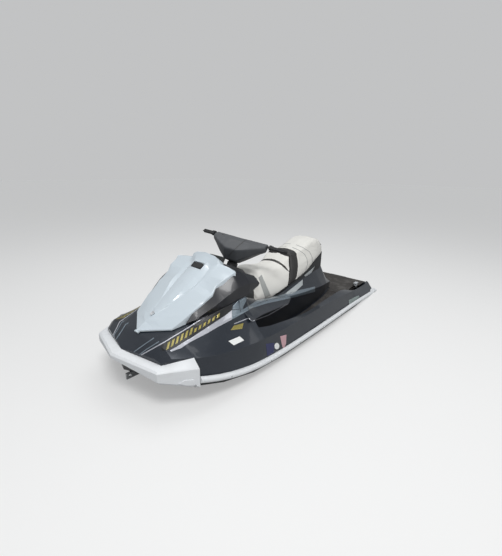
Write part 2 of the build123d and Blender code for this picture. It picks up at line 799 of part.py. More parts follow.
def make_step():
    y, z = STEP_PIN
    top = (y, STEP_TOP)
    legs = [rod((sign * STEP_X, y, z), (sign * STEP_X, *top), TUBE_R) for sign in (-1, 1)]
    corners = [Pos(sign * STEP_X, *top) * Sphere(TUBE_R) for sign in (-1, 1)]
    bar = rod((-STEP_X, *top), (STEP_X, *top), TUBE_R)
    tread = box(-110, 110, y - 10, y + 12, STEP_TOP - 12, STEP_TOP + 12)
    eyes = [rod((sign * (STEP_X - 14), y, z), (sign * (STEP_X + 14), y, z), 12) for sign in (-1, 1)]
    whole = bar + tread
    for piece in legs + corners + eyes:
        whole = whole + piece
    return whole - rod((-300, y, z), (300, y, z), 6)


def make_step_brackets():
    # forks on the transom with the step's pins
    y, z = STEP_PIN
    fork = None
    for x in (STEP_X - 24, STEP_X + 19):
        cheek = box(x, x + 5, 1590, y + 8, z - 12, z + 12)
        fork = cheek if fork is None else fork + cheek
    return pair(fork + rod((STEP_X - 24, y, z), (STEP_X + 24, y, z), 5))


def make_tow_hook():
    end = STERN - 7
    plate = box(-26, 26, 1590, 1596, 272, 318)
    arms = box(-14, -6, 1596, end, 288, 302) + box(6, 14, 1596, end, 288, 302)
    return plate + arms + rod((-14, end, 295), (14, end, 295), 7)


EYE_R = 10


def make_stern_eyes():
    eye = box(326, 338, 1590, 1626, 196, 232) - rod((320, 1610, 214), (345, 1610, 214), EYE_R)
    return pair(eye)


def make_bow_eye(hull):
    eye = box(-7, 7, -1548, -1425, 329, 375)
    return eye - rod((-10, -1522, 351), (10, -1522, 351), EYE_R) - hull


def make_cleats(deck):
    cleat = box(356, 386, 1310, 1352, 340, 396) + box(352, 390, 1296, 1366, 392, 402)
    return pair(cleat - deck)


def make_fuel_cap(deck):
    return (Pos(-476, -900, 632) * Rot(Y=-46) * Cylinder(40, 34)) - deck


def make_drain_plugs():
    return pair(rod((300, 1590, 150), (300, 1598, 150), 16))


def main():
    deck = make_deck()
    hull = make_hull()
    caps = make_corner_caps() - deck - hull
    rail = make_rails() - deck - caps
    keep("hull", hull)
    keep("deck", deck)
    keep("engine_block", make_engine())
    keep("bow_bumper", make_bumper())
    keep("gunwale_rails", pair(rail))
    keep("rail_strips", pair(largest(make_strip() - deck - hull - caps - rail)))
    keep("corner_caps", pair(caps))
    keep("stern_rails", pair(make_stern_rail() - deck - hull - caps))
    keep("footwell_mats", mat(-640, 902) - box(-120, 120, -700, 1000, 200, 500))
    keep("platform_mat", mat(912, 1575) - pair(box(345, 397, 1288, 1374, 300, 450)))
    keep("cleats", make_cleats(deck))
    keep("hood", make_hood())
    keep("hood_cowls", make_cowls())
    keep("hood_latch", make_latch())
    keep("mirrors", pair(make_mirrors()))
    console = make_console() - deck
    base = STEER * (Pos(0, 0, -27) * Cylinder(46, 66))
    display = make_display()
    keep("console", console - base - lid_space() - display)
    keep("steering_base", base)
    keep("glove_lid", make_glove_lid())
    keep("display", display)
    bar = make_handlebar()
    keep("handlebar", STEER * bar)
    keep("grips", STEER * pair(make_grips()))
    switch = make_switch_box()
    keep("switch_boxes", STEER * pair(switch))
    keep("levers", STEER * pair(make_lever() - switch - bar))
    keep("handlebar_pad", STEER * (make_pad() - bar))
    front, rear = make_seats()
    keep("front_seat", front)
    keep("rear_seat", rear)
    keep("grab_handle", make_grab_handle() - rear)
    keep("seat_plinth", make_plinth(deck))
    keep("pump_housing", make_pump())
    keep("stator", make_stator())
    keep("impeller", make_impeller())
    keep("drive_shaft", make_shaft())
    keep("steering_nozzle", make_nozzle())
    keep("reverse_bucket", make_bucket())
    keep("ride_plate", make_ride_plate())
    keep("intake_grate", make_grate(hull))
    keep("sponsons", pair(make_sponson(hull)))
    keep("boarding_step", make_step())
    keep("step_brackets", make_step_brackets())
    keep("tow_hook", make_tow_hook())
    keep("stern_eyes", make_stern_eyes())
    keep("bow_eye", make_bow_eye(hull))
    keep("fuel_cap", make_fuel_cap(deck))
    keep("drain_plugs", make_drain_plugs())


main()
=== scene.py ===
import bmesh, bpy, json, math
from mathutils import Matrix, Vector
from mathutils.bvhtree import BVHTree


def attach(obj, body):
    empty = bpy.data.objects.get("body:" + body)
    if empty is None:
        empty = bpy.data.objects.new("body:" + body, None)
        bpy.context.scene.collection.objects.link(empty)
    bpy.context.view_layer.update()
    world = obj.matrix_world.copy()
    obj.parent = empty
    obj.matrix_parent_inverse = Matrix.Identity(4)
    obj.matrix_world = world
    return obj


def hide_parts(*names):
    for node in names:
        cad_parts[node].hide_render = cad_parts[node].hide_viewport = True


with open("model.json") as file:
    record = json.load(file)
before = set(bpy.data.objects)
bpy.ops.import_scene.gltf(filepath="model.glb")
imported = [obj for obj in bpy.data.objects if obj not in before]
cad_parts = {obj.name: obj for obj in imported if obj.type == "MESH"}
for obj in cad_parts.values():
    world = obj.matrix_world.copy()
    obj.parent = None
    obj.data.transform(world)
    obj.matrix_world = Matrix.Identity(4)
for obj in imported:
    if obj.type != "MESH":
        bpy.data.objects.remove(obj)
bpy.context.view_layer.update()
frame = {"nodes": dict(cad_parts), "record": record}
nodes = frame["nodes"]
record = frame["record"]
bodyOf = {node: body for body, members in record["behaviour"]["bodies"].items() for node in members}
slotOf = {row["node"]: row["material_slot"] for row in record["subparts"]}
print("frame loaded:", len(nodes), "nodes")


def addObject(name, data):
    thing = bpy.data.objects.new(name, data)
    bpy.context.scene.collection.objects.link(thing)
    return thing


def addNode(tree, kind, links=None, values=None, **settings):
    node = tree.nodes.new(kind)
    for key, value in settings.items():
        setattr(node, key, value)
    for socket, value in (values or {}).items():
        node.inputs[socket].default_value = value
    for socket, source in (links or {}).items():
        tree.links.new(source, node.inputs[socket])
    return node


# camera: place and bearing of the photograph
shot = {
    "place": (1.873, -2.415, 1.450),
    "azimuth": 40.89,
    "elevation": 18.44,
    "roll": 0.95,
    "lens": 20.81,
    "sensor": 36,
    "clip": (0.05, 200),
    "width": 502,
    "height": 556,
}


def cameraAxes():
    turn, tilt, roll = (math.radians(shot[k]) for k in ("azimuth", "elevation", "roll"))
    ahead = Vector((-math.sin(turn) * math.cos(tilt), math.cos(turn) * math.cos(tilt), -math.sin(tilt)))
    right = Vector((math.cos(turn), math.sin(turn), 0))
    up = right.cross(ahead)
    side = right * math.cos(roll) + up * math.sin(roll)
    top = up * math.cos(roll) - right * math.sin(roll)
    return side, top, ahead


def makeCamera():
    side, top, ahead = cameraAxes()
    data = bpy.data.cameras.new("camera")
    data.lens, data.sensor_width = shot["lens"], shot["sensor"]
    data.clip_start, data.clip_end = shot["clip"]
    cam = addObject("camera", data)
    cam.matrix_world = Matrix.Translation(shot["place"]) @ Matrix((side, top, -ahead)).transposed().to_4x4()
    bpy.context.scene.camera = cam


def photoRay(px, py):
    # direction from the camera through a point of the photograph
    side, top, ahead = cameraAxes()
    focal = shot["lens"] / shot["sensor"] * shot["height"]
    across, rise = px - shot["width"] / 2, shot["height"] / 2 - py
    return (ahead * focal + side * across + top * rise).normalized()


studio = {
    "floorSize": 90,
    "floorColor": (0.52, 0.52, 0.515),
    "floorRough": 0.9,
    "floorLift": 0.32,
    "worldColor": (0.95, 0.975, 1.0),
    "worldStrength": 0.42,
    "backdrop": (0.54, 0.545, 0.55),
    "lamps": {
        "keyLight": {"place": (2.2, -2.6, 4.8), "target": (0, -0.2, 0.3), "size": (2.2, 1.6), "power": 150},
        "fillLight": {"place": (4.8, 1.4, 2.4), "target": (0, 0.2, 0.3), "size": (3.0, 2.0), "power": 30},
        "skyLight": {"place": (-1.2, 0.8, 5.2), "target": (0, 0, 0.4), "size": (4.0, 3.0), "power": 70},
    },
}


def makeFloor():
    bm = bmesh.new()
    bmesh.ops.create_grid(bm, x_segments=1, y_segments=1, size=studio["floorSize"] / 2)
    mesh = bpy.data.meshes.new("studioFloor")
    bm.to_mesh(mesh)
    bm.free()
    floor = addObject("studioFloor", mesh)
    mat = bpy.data.materials.new("paleFloor")
    mat.use_nodes = True
    tree = mat.node_tree
    paint = tree.nodes["Principled BSDF"]
    paint.inputs["Base Color"].default_value = (*studio["floorColor"], 1)
    paint.inputs["Roughness"].default_value = studio["floorRough"]
    # the camera sees the floor paler than it lights the craft, with the shadow kept
    path = addNode(tree, "ShaderNodeLightPath")
    lift = addNode(tree, "ShaderNodeMath", {0: path.outputs["Is Camera Ray"]}, {1: studio["floorLift"]},
                   operation="MULTIPLY")
    glow = addNode(tree, "ShaderNodeEmission", {"Strength": lift.outputs["Value"]})
    both = addNode(tree, "ShaderNodeAddShader", {0: paint.outputs["BSDF"], 1: glow.outputs["Emission"]})
    # seen from below, the floor lets the underside of the hull show
    clear = addNode(tree, "ShaderNodeBsdfTransparent")
    facing = addNode(tree, "ShaderNodeNewGeometry")
    mix = addNode(tree, "ShaderNodeMixShader",
                  {"Fac": facing.outputs["Backfacing"], 1: both.outputs["Shader"], 2: clear.outputs["BSDF"]})
    tree.links.new(mix.outputs["Shader"], tree.nodes["Material Output"].inputs["Surface"])
    mesh.materials.append(mat)


def makeWorld():
    # cool light all round, with a paler backdrop behind the floor
    world = bpy.data.worlds.new("studioWorld")
    bpy.context.scene.world = world
    world.use_nodes = True
    tree = world.node_tree
    sky = tree.nodes["Background"]
    sky.inputs["Color"].default_value = (*studio["worldColor"], 1)
    sky.inputs["Strength"].default_value = studio["worldStrength"]
    backdrop = addNode(tree, "ShaderNodeBackground", values={"Color": (*studio["backdrop"], 1)})
    path = addNode(tree, "ShaderNodeLightPath")
    seen = addNode(tree, "ShaderNodeMath", {0: path.outputs["Is Camera Ray"],
                                            1: path.outputs["Is Transmission Ray"]}, operation="MAXIMUM")
    mix = addNode(tree, "ShaderNodeMixShader", {"Fac": seen.outputs["Value"], 1: sky.outputs["Background"],
                                                2: backdrop.outputs["Background"]})
    tree.links.new(mix.outputs["Shader"], tree.nodes["World Output"].inputs["Surface"])


def makeLamps():
    for name, lamp in studio["lamps"].items():
        data = bpy.data.lights.new(name, "AREA")
        data.shape, data.energy = "RECTANGLE", lamp["power"]
        data.size, data.size_y = lamp["size"]
        light = addObject(name, data)
        light.location = lamp["place"]
        aim = Vector(lamp["target"]) - Vector(lamp["place"])
        light.rotation_euler = aim.to_track_quat("-Z", "Y").to_euler()


# shader groups: each gives masks or a height

def newGroup(name, inputs, outputs):
    group = bpy.data.node_groups.new(name, "ShaderNodeTree")
    for label, kind, value in inputs:
        socket = group.interface.new_socket(label, in_out="INPUT", socket_type=kind)
        if value is not None:
            socket.default_value = value
    for label, kind in outputs:
        group.interface.new_socket(label, in_out="OUTPUT", socket_type=kind)
    return group, group.nodes.new("NodeGroupInput"), group.nodes.new("NodeGroupOutput")


def makeWearGroup():
    # smudges, edge rub and dust as three masks
    group, given, out = newGroup("wearMasks", [("Scale", "NodeSocketFloat", 6.0)],
                                 [(n, "NodeSocketFloat") for n in ("Smudge", "Edge", "Dust")])
    place = addNode(group, "ShaderNodeTexCoord")
    cloud = addNode(group, "ShaderNodeTexNoise",
                    {"Vector": place.outputs["Object"], "Scale": given.outputs["Scale"]},
                    {"Detail": 9, "Roughness": 0.7})
    smudge = addNode(group, "ShaderNodeMapRange", {"Value": cloud.outputs["Fac"]},
                     {"From Min": 0.44, "From Max": 0.78}, interpolation_type="SMOOTHSTEP")
    rounded = addNode(group, "ShaderNodeBevel", values={"Radius": 0.004}, samples=4)
    surface = addNode(group, "ShaderNodeNewGeometry")
    match = addNode(group, "ShaderNodeVectorMath",
                    {0: rounded.outputs["Normal"], 1: surface.outputs["Normal"]}, operation="DOT_PRODUCT")
    edge = addNode(group, "ShaderNodeMapRange", {"Value": match.outputs["Value"]},
                   {"From Min": 0.995, "From Max": 0.90})
    rub = addNode(group, "ShaderNodeMath", {0: edge.outputs["Result"], 1: cloud.outputs["Fac"]},
                  operation="MULTIPLY")
    lie = addNode(group, "ShaderNodeSeparateXYZ", {"Vector": surface.outputs["Normal"]})
    upward = addNode(group, "ShaderNodeMapRange", {"Value": lie.outputs["Z"]},
                     {"From Min": 0.2, "From Max": 1.0})
    dust = addNode(group, "ShaderNodeMath", {0: upward.outputs["Result"], 1: smudge.outputs["Result"]},
                   operation="MULTIPLY")
    group.links.new(smudge.outputs["Result"], out.inputs["Smudge"])
    group.links.new(rub.outputs["Value"], out.inputs["Edge"])
    group.links.new(dust.outputs["Value"], out.inputs["Dust"])
    return group


def makeGrainGroup():
    # moulded grain or leather grain as a height
    group, given, out = newGroup("grainHeight", [("Scale", "NodeSocketFloat", 300.0)],
                                 [("Height", "NodeSocketFloat")])
    place = addNode(group, "ShaderNodeTexCoord")
    cells = addNode(group, "ShaderNodeTexVoronoi",
                    {"Vector": place.outputs["Object"], "Scale": given.outputs["Scale"]}, feature="SMOOTH_F1")
    fine = addNode(group, "ShaderNodeTexNoise",
                   {"Vector": place.outputs["Object"], "Scale": given.outputs["Scale"]}, {"Detail": 3})
    both = addNode(group, "ShaderNodeMath", {0: cells.outputs["Distance"], 1: fine.outputs["Fac"]},
                   operation="ADD")
    group.links.new(both.outputs["Value"], out.inputs["Height"])
    return group


def makeFlakeGroup():
    # bright points of a metallic gelcoat
    group, given, out = newGroup("flakeMask", [("Scale", "NodeSocketFloat", 1400.0)],
                                 [("Mask", "NodeSocketFloat")])
    place = addNode(group, "ShaderNodeTexCoord")
    cells = addNode(group, "ShaderNodeTexVoronoi",
                    {"Vector": place.outputs["Object"], "Scale": given.outputs["Scale"]})
    tone = addNode(group, "ShaderNodeSeparateColor", {"Color": cells.outputs["Color"]})
    mask = addNode(group, "ShaderNodeMapRange", {"Value": tone.outputs["Red"]},
                   {"From Min": 0.72, "From Max": 1.0})
    group.links.new(mask.outputs["Result"], out.inputs["Mask"])
    return group


def makeBandGroup():
    # 1 between two parallel planes, given by their shared normal and their distances along it
    inputs = [("Across", "NodeSocketVector", None),
              ("From", "NodeSocketFloat", 0.0), ("To", "NodeSocketFloat", 0.1)]
    group, given, out = newGroup("planeBand", inputs, [("Mask", "NodeSocketFloat")])
    place = addNode(group, "ShaderNodeTexCoord")
    along = addNode(group, "ShaderNodeVectorMath",
                    {0: place.outputs["Object"], 1: given.outputs["Across"]}, operation="DOT_PRODUCT")
    above = addNode(group, "ShaderNodeMath", {0: along.outputs["Value"], 1: given.outputs["From"]},
                    operation="GREATER_THAN")
    below = addNode(group, "ShaderNodeMath", {0: along.outputs["Value"], 1: given.outputs["To"]},
                    operation="LESS_THAN")
    both = addNode(group, "ShaderNodeMath", {0: above.outputs["Value"], 1: below.outputs["Value"]},
                   operation="MULTIPLY")
    group.links.new(both.outputs["Value"], out.inputs["Mask"])
    return group


def makeRibGroup():
    # height of a foam mat: diamonds between two sets of slanted grooves
    group, given, out = newGroup("ribHeight", [("Pitch", "NodeSocketFloat", 0.008)],
                                 [("Height", "NodeSocketFloat")])
    place = addNode(group, "ShaderNodeTexCoord")
    parts = addNode(group, "ShaderNodeSeparateXYZ", {"Vector": place.outputs["Object"]})
    heights = []
    for direction in ("ADD", "SUBTRACT"):
        lean = addNode(group, "ShaderNodeMath", {0: parts.outputs["X"], 1: parts.outputs["Y"]},
                       operation=direction)
        turns = addNode(group, "ShaderNodeMath", {0: lean.outputs["Value"], 1: given.outputs["Pitch"]},
                        operation="DIVIDE")
        wave = addNode(group, "ShaderNodeMath", {0: turns.outputs["Value"]}, {1: 1.0}, operation="PINGPONG")
        heights.append(addNode(group, "ShaderNodeMapRange", {"Value": wave.outputs["Value"]},
                               {"From Min": 0.12, "From Max": 0.3}, interpolation_type="SMOOTHSTEP"))
    grid = addNode(group, "ShaderNodeMath",
                   {0: heights[0].outputs["Result"], 1: heights[1].outputs["Result"]}, operation="MINIMUM")
    group.links.new(grid.outputs["Value"], out.inputs["Height"])
    return group


groups = {"wear": makeWearGroup(), "grain": makeGrainGroup(), "flake": makeFlakeGroup(),
          "rib": makeRibGroup(), "band": makeBandGroup()}
print("shader groups made:", len(groups))

# the split between the seats: it leans aft through this point, and the dark band lies behind it
split = {"lean": math.radians(26), "through": Vector((0, 0.060, 0.420)), "band": (0.0, 0.102)}
split["across"] = Vector((0, math.cos(split["lean"]), -math.sin(split["lean"])))
split["offset"] = split["through"].dot(split["across"])

# finishes: one for each material slot, and those that only the scene has
finishes = {
    "hull_gelcoat": {"color": (0.008, 0.009, 0.011), "rough": 0.28, "coat": 0.3, "smudge": 0.1, "dust": 0.05},
    "deck_metallic": {"color": (0.014, 0.019, 0.028), "rough": 0.34, "coat": 0.45, "metal": 0.3, "flake": 0.4,
                      "smudge": 0.07, "dust": 0.03},
    "white_bumper": {"color": (0.74, 0.76, 0.78), "rough": 0.48, "smudge": 0.2, "dirt": (0.50, 0.50, 0.46),
                     "grain": 420, "bump": 0.05},
    "black_rubber": {"color": (0.014, 0.014, 0.015), "rough": 0.68, "smudge": 0.2, "grain": 500,
                     "bump": 0.15},
    "mat_foam": {"color": (0.045, 0.041, 0.038), "rough": 0.88, "smudge": 0.3, "dust": 0.3, "rib": 0.011,
                 "bump": 0.6},
    "hood_white": {"color": (0.58, 0.65, 0.70), "rough": 0.3, "coat": 0.5, "smudge": 0.08,
                   "dirt": (0.52, 0.57, 0.59)},
    "cowl_black": {"color": (0.008, 0.009, 0.013), "rough": 0.34, "coat": 0.25, "smudge": 0.08, "dust": 0.03},
    "dark_plastic": {"color": (0.020, 0.021, 0.023), "rough": 0.6, "smudge": 0.14, "dust": 0.06, "grain": 380,
                     "bump": 0.25},
    "padGrey": {"color": (0.062, 0.066, 0.072), "rough": 0.5, "smudge": 0.16, "dust": 0.05, "grain": 300,
                "bump": 0.2},
    "paleMoulding": {"color": (0.40, 0.43, 0.44), "rough": 0.42, "smudge": 0.12},
    "blackTube": {"color": (0.012, 0.012, 0.013), "rough": 0.4, "smudge": 0.1},
    "mirror_glass": {"color": (0.75, 0.78, 0.8), "rough": 0.04, "metal": 1.0, "smudge": 0.05},
    "screen": {"color": (0.012, 0.014, 0.013), "rough": 0.3, "coat": 0.3, "smudge": 0.08},
    "seat_vinyl": {"color": (0.74, 0.73, 0.69), "rough": 0.5, "smudge": 0.14, "dirt": (0.56, 0.54, 0.48),
                   "grain": 260, "bump": 0.22, "band": (0.022, 0.021, 0.02)},
    "pump_aluminium": {"color": (0.48, 0.49, 0.50), "rough": 0.38, "metal": 1.0, "smudge": 0.25,
                       "dirt": (0.25, 0.25, 0.24), "grain": 240, "bump": 0.12},
    "steel": {"color": (0.56, 0.57, 0.58), "rough": 0.24, "metal": 1.0, "smudge": 0.15},
    "engine_iron": {"color": (0.1, 0.1, 0.11), "rough": 0.7, "metal": 0.6, "smudge": 0.3, "grain": 200,
                    "bump": 0.3},
    "pale_fitting": {"color": (0.5, 0.52, 0.54), "rough": 0.42, "smudge": 0.15},
    "silverStripe": {"color": (0.50, 0.51, 0.56), "rough": 0.3, "metal": 0.55, "coat": 0.6, "flake": 0.3},
    "accentGrey": {"color": (0.16, 0.20, 0.235), "rough": 0.32, "metal": 0.45, "coat": 0.7, "flake": 0.3},
    "wedgeBlack": {"color": (0.005, 0.005, 0.006), "rough": 0.36, "coat": 0.2, "smudge": 0.06},
    "goldFoil": {"color": (0.30, 0.25, 0.07), "rough": 0.32, "metal": 0.6, "coat": 0.4, "flake": 0.4},
    "blankLabel": {"color": (0.80, 0.81, 0.80), "rough": 0.4, "smudge": 0.1, "dirt": (0.55, 0.55, 0.52)},
    "navySticker": {"color": (0.018, 0.022, 0.09), "rough": 0.35, "smudge": 0.1},
    "pinkSticker": {"color": (0.55, 0.33, 0.36), "rough": 0.4, "smudge": 0.12},
    "hatchGrey": {"color": (0.25, 0.30, 0.29), "rough": 0.4, "metal": 0.2, "smudge": 0.2},
    "greyVinyl": {"color": (0.34, 0.35, 0.34), "rough": 0.52, "smudge": 0.12, "grain": 260, "bump": 0.2},
    "darkVinyl": {"color": (0.03, 0.028, 0.026), "rough": 0.5, "smudge": 0.12, "grain": 260, "bump": 0.25},
}
# what wear does to a finish: dirt, flake and rub are a gain and a lift on its own colour
wearing = {"dirt": (2.6, 0.02), "flake": (3.5, 0.03), "rub": (1.5, 0.03), "rubShare": 0.4, "smudge": 0.1,
           "dustColor": (0.32, 0.31, 0.29), "roughSpread": 0.5, "coatRough": 0.06, "ribDepth": 0.002,
           "grainDepth": 0.0006}
looks = {}


def paler(color, gain, lift):
    return tuple(min(1, gain * c + lift) for c in color)


def addScaled(tree, source, factor):
    return addNode(tree, "ShaderNodeMath", {0: source}, {1: factor}, operation="MULTIPLY").outputs["Value"]


def setColors(mix, first, second):
    colors = [s for s in mix.inputs if s.type == "RGBA"]
    for socket, color in zip(colors, (first, second)):
        if color is not None:
            socket.default_value = (*color, 1)
    return colors


def overlay(tree, color, top, factor):
    mix = addNode(tree, "ShaderNodeMix", {"Factor": factor}, data_type="RGBA")
    first, _ = setColors(mix, None, top)
    tree.links.new(color, first)
    return [s for s in mix.outputs if s.type == "RGBA"][0]


def makeFinish(name, spec):
    mat = bpy.data.materials.new(name)
    mat.use_nodes = True
    tree = mat.node_tree
    paint = tree.nodes["Principled BSDF"]
    paint.inputs["Metallic"].default_value = spec.get("metal", 0)
    paint.inputs["Coat Weight"].default_value = spec.get("coat", 0)
    paint.inputs["Coat Roughness"].default_value = wearing["coatRough"]
    masks = addNode(tree, "ShaderNodeGroup", node_tree=groups["wear"])
    base, smudge = spec["color"], spec.get("smudge", wearing["smudge"])
    tint = addNode(tree, "ShaderNodeMix", {"Factor": addScaled(tree, masks.outputs["Smudge"], smudge)},
                   data_type="RGBA")
    setColors(tint, base, spec.get("dirt", paler(base, *wearing["dirt"])))
    color = tint.outputs["Result"]
    if spec.get("flake"):
        flake = addNode(tree, "ShaderNodeGroup", node_tree=groups["flake"])
        color = overlay(tree, color, paler(base, *wearing["flake"]),
                        addScaled(tree, flake.outputs["Mask"], spec["flake"]))
    if spec.get("dust"):
        color = overlay(tree, color, wearing["dustColor"],
                        addScaled(tree, masks.outputs["Dust"], spec["dust"]))
    color = overlay(tree, color, paler(base, *wearing["rub"]),
                    addScaled(tree, masks.outputs["Edge"], wearing["rubShare"]))
    if spec.get("band"):
        band = addNode(tree, "ShaderNodeGroup", node_tree=groups["band"])
        band.inputs["Across"].default_value = split["across"]
        band.inputs["From"].default_value = split["offset"] + split["band"][0]
        band.inputs["To"].default_value = split["offset"] + split["band"][1]
        color = overlay(tree, color, spec["band"], band.outputs["Mask"])
    tree.links.new(color, paint.inputs["Base Color"])
    roughest = min(1, spec["rough"] + wearing["roughSpread"] * smudge)
    rough = addNode(tree, "ShaderNodeMapRange", {"Value": masks.outputs["Smudge"]},
                    {"To Min": spec["rough"], "To Max": roughest})
    tree.links.new(rough.outputs["Result"], paint.inputs["Roughness"])
    if spec.get("bump"):
        kind = "rib" if spec.get("rib") else "grain"
        relief = addNode(tree, "ShaderNodeGroup", node_tree=groups[kind])
        relief.inputs[0].default_value = spec[kind]
        bump = addNode(tree, "ShaderNodeBump", {"Height": relief.outputs["Height"]},
                       {"Strength": spec["bump"], "Distance": wearing[kind + "Depth"]})
        tree.links.new(bump.outputs["Normal"], paint.inputs["Normal"])
    return mat


for finishName, finishSpec in finishes.items():
    looks[finishName] = makeFinish(finishName, finishSpec)
print("finishes made:", len(looks))


# mesh helpers, with their small distances in metres

gaps = {"weld": 0.00005, "fineWeld": 1e-6, "cut": 0.00001, "samePoint": 1e-7, "leastMove": 1e-9}
softening = {"flatAngle": 0.02, "sharpDegrees": 24, "segments": 3}
forms = {}  # finished surfaces that small parts and graphics are laid on


def meshOf(name):
    # the node's mesh, its doubled corners merged
    bm = bmesh.new()
    bm.from_mesh(nodes[name].data)
    bmesh.ops.remove_doubles(bm, verts=bm.verts, dist=gaps["weld"])
    return bm


def dress(mesh, look):
    mesh.materials.clear()
    mesh.materials.append(looks[look])


def addPiece(name, bm, body, look):
    mesh = bpy.data.meshes.new(name)
    for face in bm.faces:
        face.smooth = True
    bm.to_mesh(mesh)
    bm.free()
    dress(mesh, look)
    piece = addObject(name, mesh)
    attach(piece, body)
    return piece


def keepForm(name, mesh):
    bm = bmesh.new()
    bm.from_mesh(mesh)
    forms[name] = BVHTree.FromBMesh(bm)
    bm.free()


def bakedMesh(obj):
    graph = bpy.context.evaluated_depsgraph_get()
    return bpy.data.meshes.new_from_object(obj.evaluated_get(graph))


def remeshed(obj, voxel):
    remesh = obj.modifiers.new("voxels", "REMESH")
    remesh.mode, remesh.voxel_size = "VOXEL", voxel
    obj.data = bakedMesh(obj)
    obj.modifiers.clear()


def smoothed(bm, verts, rounds):
    for _ in range(rounds):
        bmesh.ops.smooth_vert(bm, verts=verts, factor=0.5, use_axis_x=True, use_axis_y=True, use_axis_z=True)


def softCopy(node, width):
    # the node's own form with its edges rounded
    bm = meshOf(node)
    bmesh.ops.dissolve_limit(bm, angle_limit=softening["flatAngle"], verts=bm.verts, edges=bm.edges)
    limit = math.radians(softening["sharpDegrees"])
    sharp = [e for e in bm.edges if len(e.link_faces) == 2 and e.calc_face_angle(0) > limit]
    bmesh.ops.bevel(bm, geom=sharp, offset=width, offset_type="OFFSET", segments=softening["segments"],
                    profile=0.5, affect="EDGES", clamp_overlap=True, material=-1)
    piece = addPiece(node + "Form", bm, bodyOf[node], slotOf[node])
    normals = piece.modifiers.new("normals", "WEIGHTED_NORMAL")
    normals.keep_sharp = True
    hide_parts(node)
    return piece


makeCamera()
makeFloor()
makeWorld()
makeLamps()
bpy.context.scene.view_settings.view_transform = "Standard"
print("camera and studio made")


# seats: stuffed vinyl pads

pads = {
    "front_seat": {"voxel": 0.0066, "shrink": 0.003, "smooth": 16, "cap": 0.005, "pressure": 4,
                   "splitSide": 1},
    "rear_seat": {"voxel": 0.0068, "shrink": 0.003, "smooth": 16, "cap": 0.005, "pressure": 4,
                  "splitSide": -1},
}
stuffing = {"frames": 20, "underside": -0.5, "splitFace": 0.9}  # the last two are parts of a normal
seams = {"width": 0.006, "depth": 0.0030, "side": 0.020, "cordRadius": 0.0026, "cordSides": 2}
bandEdge = split["offset"] + split["band"][1]


def stuffPad(node, spec):
    bm = meshOf(node)
    bm.normal_update()
    start = [(v, v.co - v.normal * spec["shrink"]) for v in bm.verts]
    for vert, place in start:
        vert.co = place
    mesh = bpy.data.meshes.new(node + "Pad")
    bm.to_mesh(mesh)
    bm.free()
    pad = addObject(node + "Pad", mesh)
    remeshed(pad, spec["voxel"])

    bm = bmesh.new()
    bm.from_mesh(pad.data)
    bm.normal_update()
    facing = split["across"] * spec["splitSide"]
    low = stuffing["underside"]
    fixed = [v.index for v in bm.verts if v.normal.z < low or v.normal.dot(facing) > stuffing["splitFace"]]
    smoothed(bm, [v for v in bm.verts if v.normal.z >= low], spec["smooth"])
    bm.to_mesh(pad.data)
    bm.free()
    inflate(pad, fixed, spec)
    smoother = pad.modifiers.new("vinyl", "SUBSURF")
    smoother.levels = smoother.render_levels = 1
    pad.data = bakedMesh(pad)
    pad.modifiers.clear()
    pressSeam(pad.data)
    pad.data.shade_smooth()
    dress(pad.data, "seat_vinyl")
    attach(pad, bodyOf[node])
    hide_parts(node)
    keepForm(node, pad.data)
    return pad


def inflate(pad, fixed, spec):
    # cloth under pressure, each point held within the cap
    before = [v.co.copy() for v in pad.data.vertices]
    pad.vertex_groups.new(name="held").add(fixed, 1.0, "REPLACE")
    cloth = pad.modifiers.new("stuffing", "CLOTH")
    cloth.settings.use_pressure = True
    cloth.settings.uniform_pressure_force = spec["pressure"]
    cloth.settings.vertex_group_mass = "held"
    cloth.settings.effector_weights.gravity = 0
    cloth.point_cache.frame_start, cloth.point_cache.frame_end = 1, stuffing["frames"]
    scene = bpy.context.scene
    for step in range(1, stuffing["frames"] + 1):
        scene.frame_set(step)
    swollen = bakedMesh(pad)
    pad.modifiers.clear()
    pad.vertex_groups.clear()
    for vert, old, new in zip(pad.data.vertices, before, swollen.vertices):
        move = new.co - old
        vert.co = old + move * min(1, spec["cap"] / max(move.length, gaps["leastMove"]))
    bpy.data.meshes.remove(swollen)
    scene.frame_set(1)


def pressSeam(mesh):
    # sewn channel along the aft edge of the dark band
    bm = bmesh.new()
    bm.from_mesh(mesh)
    for vert in bm.verts:
        along = vert.co.dot(split["across"])
        depth = math.exp(-((along - bandEdge) / seams["width"]) ** 2)
        vert.co -= vert.normal * seams["depth"] * depth
    bm.to_mesh(mesh)
    bm.free()


def sliceLoop(mesh, point, normal):
    # the mesh's outline in a plane, as an ordered list of points
    bm = bmesh.new()
    bm.from_mesh(mesh)
    bmesh.ops.bisect_plane(bm, geom=bm.verts[:] + bm.edges[:] + bm.faces[:], plane_co=point, plane_no=normal,
                           clear_inner=True, clear_outer=True, dist=gaps["cut"])
    bm.verts.ensure_lookup_table()
    line, last = [], None
    vert = min(bm.verts, key=lambda v: v.co.z)
    while vert is not None:
        line.append(vert.co.copy())
        ahead = [e.other_vert(vert) for e in vert.link_edges]
        ahead = [v for v in ahead if v is not last]
        last, vert = vert, (ahead[0] if ahead else None)
        if vert is not None and (vert.co - line[0]).length < gaps["samePoint"]:
            break
        if len(line) > len(bm.verts):
            break
    bm.free()
    return line


